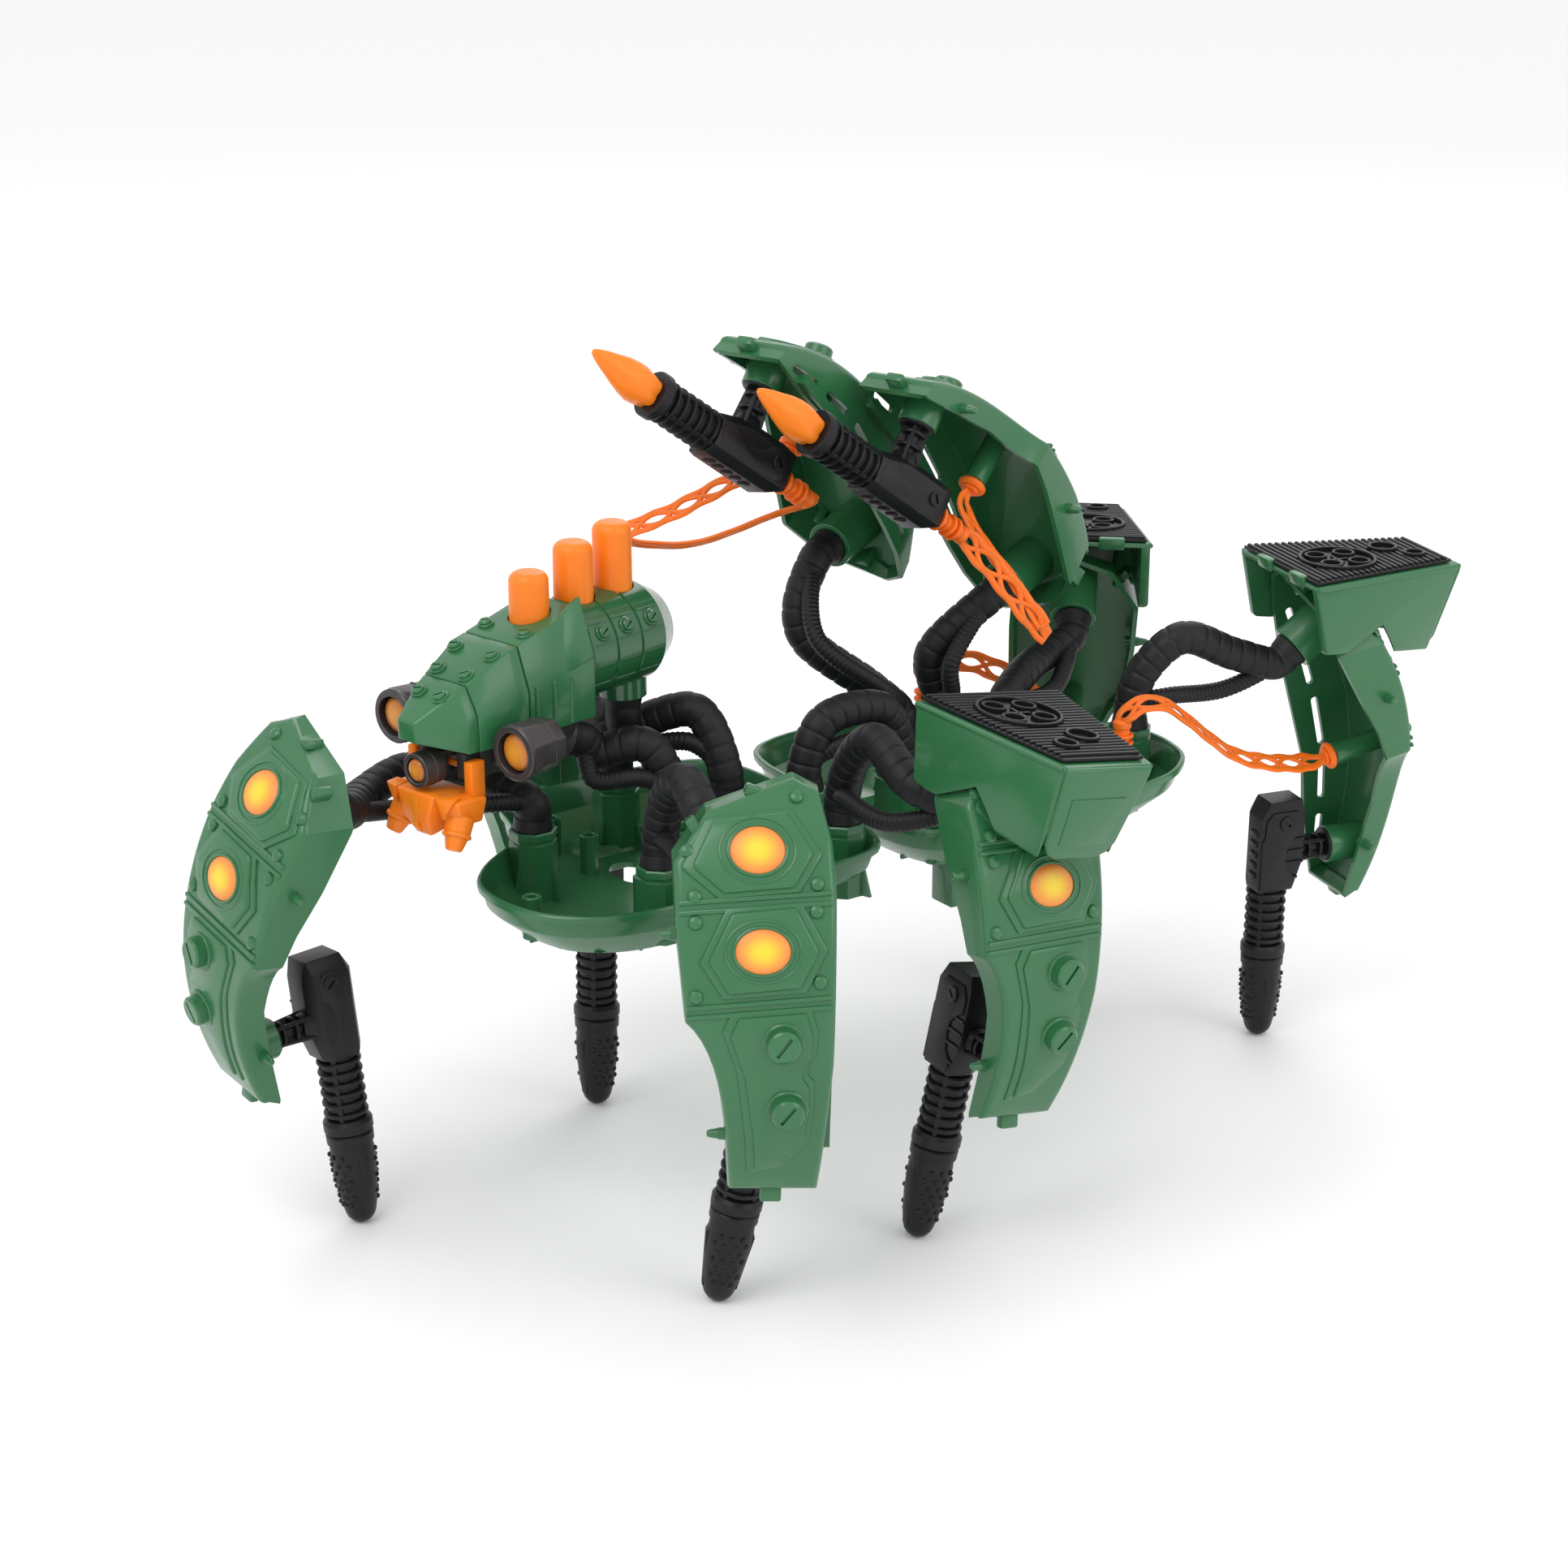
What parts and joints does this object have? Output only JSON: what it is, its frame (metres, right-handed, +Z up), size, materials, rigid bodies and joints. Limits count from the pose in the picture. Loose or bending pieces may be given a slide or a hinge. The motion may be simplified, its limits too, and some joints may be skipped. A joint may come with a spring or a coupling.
{
  "type": "hexapod spider robot",
  "caption": "Spider robot of curved green shells on peg legs around a tray body, with rubber hoses, raised cannon arms with orange flames and a head with lamp eyes.",
  "frame": {"origin": "middle of the bounding box in plan, on the floor the six boots stand on", "axes": "+Z up, the head looks along -Y, +Y runs from the head to the rear legs, +X is the side of the capped middle leg"},
  "size_m": [0.2848, 0.4838, 0.2932],
  "materials": {
    "green": "moulded, satin gloss",
    "deep_green": "moulded, glossy, slightly translucent look",
    "black": "moulded, fine grain",
    "hose": "soft rubber, dull",
    "gunmetal": "dark metallic plastic look",
    "orange": "soft moulded, satin",
    "amber": "glossy lens"
  },
  "bodies": {
    "body": {"front_pan": "green", "rear_pan": "green", "hose_front": "hose", "hose_front_left": "hose", "hose_front_right": "hose", "hose_mid_right": "hose", "hose_rear": "hose", "hose_rear_left": "hose", "hose_arm_left": "hose", "hose_arm_right": "hose", "hose_link": "hose", "hose_neck_front": "hose", "hose_neck_rear": "hose", "strap_rear": "orange", "strap_rear_left": "orange"},
    "shell_front": {"leg_shell_front": "green"},
    "rod_front": {"grip_rod_front": "black", "boot_front": "black"},
    "shell_front_left": {"leg_shell_front_left": "green"},
    "rod_front_left": {"grip_rod_front_left": "black", "boot_front_left": "black"},
    "shell_front_right": {"leg_shell_front_right": "green"},
    "rod_front_right": {"grip_rod_front_right": "black", "boot_front_right": "black"},
    "shell_mid_right": {"leg_shell_mid_right": "green", "hip_cap_mid_right": "green", "tread_plate_mid_right": "black"},
    "rod_mid_right": {"grip_rod_mid_right": "black", "boot_mid_right": "black"},
    "shell_rear": {"leg_shell_rear": "green", "hip_cap_rear": "green", "tread_plate_rear": "black"},
    "rod_rear": {"grip_rod_rear": "black", "boot_rear": "black"},
    "shell_rear_left": {"leg_shell_rear_left": "green", "hip_cap_rear_left": "green", "tread_plate_rear_left": "black"},
    "rod_rear_left": {"grip_rod_rear_left": "black", "boot_rear_left": "black"},
    "arm_left": {"arm_shell_left": "green", "strap_arm_left": "orange"},
    "cannon_left": {"cannon_left": "black", "flame_left": "orange"},
    "arm_right": {"arm_shell_right": "green", "strap_arm_right": "orange"},
    "cannon_right": {"cannon_right": "black", "flame_right": "orange"},
    "head": {"head_cowl": "green", "head_tail": "deep_green", "head_base": "gunmetal", "nose_lamp": "gunmetal", "nose_lens": "amber"},
    "jaw": {"muzzle": "orange"},
    "eye_left": {"eye_pod_left": "gunmetal", "eye_lens_left": "amber"},
    "eye_right": {"eye_pod_right": "gunmetal", "eye_lens_right": "amber"},
    "plunger_front": {"plunger_front": "orange"},
    "plunger_middle": {"plunger_middle": "orange"},
    "plunger_rear": {"plunger_rear": "orange"}
  },
  "joints": [
    {"name": "swivel_front", "type": "hinge", "parent": "body", "child": "shell_front", "pos_m": [-0.04115, -0.19347, 0.15916], "axis": [0.1213, -0.8125, 0.5702], "range_deg": [-12, 12]},
    {"name": "foot_front", "type": "hinge", "parent": "shell_front", "child": "rod_front", "pos_m": [-0.05623, -0.18888, 0.07663], "axis": [0.0697, -0.9962, -0.0523], "range_deg": [-20, 20]},
    {"name": "swivel_front_left", "type": "hinge", "parent": "body", "child": "shell_front_left", "pos_m": [-0.0953, -0.06958, 0.16016], "axis": [-0.827, -0.0578, 0.5592], "range_deg": [-12, 12]},
    {"name": "foot_front_left", "type": "hinge", "parent": "shell_front_left", "child": "rod_front_left", "pos_m": [-0.08859, -0.0631, 0.07665], "axis": [-0.9951, -0.0696, -0.0698], "range_deg": [-20, 20]},
    {"name": "swivel_front_right", "type": "hinge", "parent": "body", "child": "shell_front_right", "pos_m": [0.07609, -0.10672, 0.1596], "axis": [0.6956, -0.3929, 0.6014], "range_deg": [-12, 12]},
    {"name": "foot_front_right", "type": "hinge", "parent": "shell_front_right", "child": "rod_front_right", "pos_m": [0.0753, -0.10266, 0.07567], "axis": [0.857, -0.515, -0.0175], "range_deg": [-20, 20]},
    {"name": "swivel_mid_right", "type": "hinge", "parent": "body", "child": "shell_mid_right", "pos_m": [0.07807, -0.01402, 0.15937], "axis": [0.8132, 0.0149, 0.5818], "range_deg": [-12, 12]},
    {"name": "foot_mid_right", "type": "hinge", "parent": "shell_mid_right", "child": "rod_mid_right", "pos_m": [0.07335, -0.01935, 0.07564], "axis": [0.9956, -0.0871, -0.0349], "range_deg": [-20, 20]},
    {"name": "swivel_rear", "type": "hinge", "parent": "body", "child": "shell_rear", "pos_m": [0.02007, 0.17779, 0.16079], "axis": [0.1906, 0.7646, 0.6157], "range_deg": [-12, 12], "deforming": ["strap_rear"]},
    {"name": "foot_rear", "type": "hinge", "parent": "shell_rear", "child": "rod_rear", "pos_m": [0.01394, 0.17797, 0.07699], "axis": [0.2419, 0.9703, 0], "range_deg": [-20, 20]},
    {"name": "swivel_rear_left", "type": "hinge", "parent": "body", "child": "shell_rear_left", "pos_m": [-0.05727, 0.13604, 0.16052], "axis": [-0.6087, 0.5481, 0.5736], "range_deg": [-12, 12], "deforming": ["strap_rear_left"]},
    {"name": "foot_rear_left", "type": "hinge", "parent": "shell_rear_left", "child": "rod_rear_left", "pos_m": [-0.05706, 0.12778, 0.0769], "axis": [-0.7421, 0.6682, -0.0523], "range_deg": [-20, 20]},
    {"name": "swivel_arm_left", "type": "hinge", "parent": "body", "child": "arm_left", "pos_m": [-0.07727, 0.03403, 0.20143], "axis": [-0.3319, 0.9118, 0.2419], "range_deg": [-3, 2]},
    {"name": "cannon_left", "type": "hinge", "parent": "arm_left", "child": "cannon_left", "pos_m": [-0.04877, -0.02673, 0.252], "axis": [-0.2106, 0.5785, 0.788], "range_deg": [-5, 15], "deforming": ["strap_arm_left"]},
    {"name": "swivel_arm_right", "type": "hinge", "parent": "body", "child": "arm_right", "pos_m": [-0.0405, 0.08744, 0.18643], "axis": [-0.3319, 0.9118, 0.2419], "range_deg": [-2, 6]},
    {"name": "cannon_right", "type": "hinge", "parent": "arm_right", "child": "cannon_right", "pos_m": [-0.02327, 0.02257, 0.237], "axis": [-0.2106, 0.5785, 0.788], "range_deg": [-5, 15], "deforming": ["strap_arm_right"]},
    {"name": "neck", "type": "hinge", "parent": "body", "child": "head", "pos_m": [-0.03854, -0.10569, 0.166], "axis": [0.0285, -0.9401, 0.3397], "range_deg": [-1.5, 10], "deforming": ["hose_neck_rear"]},
    {"name": "jaw", "type": "hinge", "parent": "head", "child": "jaw", "pos_m": [-0.02923, -0.15541, 0.17], "axis": [0.9703, 0.2419, 0], "range_deg": [0, 15]},
    {"name": "eye_left", "type": "hinge", "parent": "head", "child": "eye_left", "pos_m": [-0.03177, -0.14523, 0.171], "axis": [0.9703, 0.2419, 0], "range_deg": [-20, 20]},
    {"name": "eye_right", "type": "hinge", "parent": "head", "child": "eye_right", "pos_m": [-0.03177, -0.14523, 0.171], "axis": [0.9703, 0.2419, 0], "range_deg": [-20, 20]},
    {"name": "plunger_front", "type": "slide", "parent": "head", "child": "plunger_front", "axis": [0, 0, 1], "range_m": [-0.004, 0]},
    {"name": "plunger_middle", "type": "slide", "parent": "head", "child": "plunger_middle", "axis": [0, 0, 1], "range_m": [-0.004, 0]},
    {"name": "plunger_rear", "type": "slide", "parent": "head", "child": "plunger_rear", "axis": [0, 0, 1], "range_m": [-0.004, 0]}
  ]
}
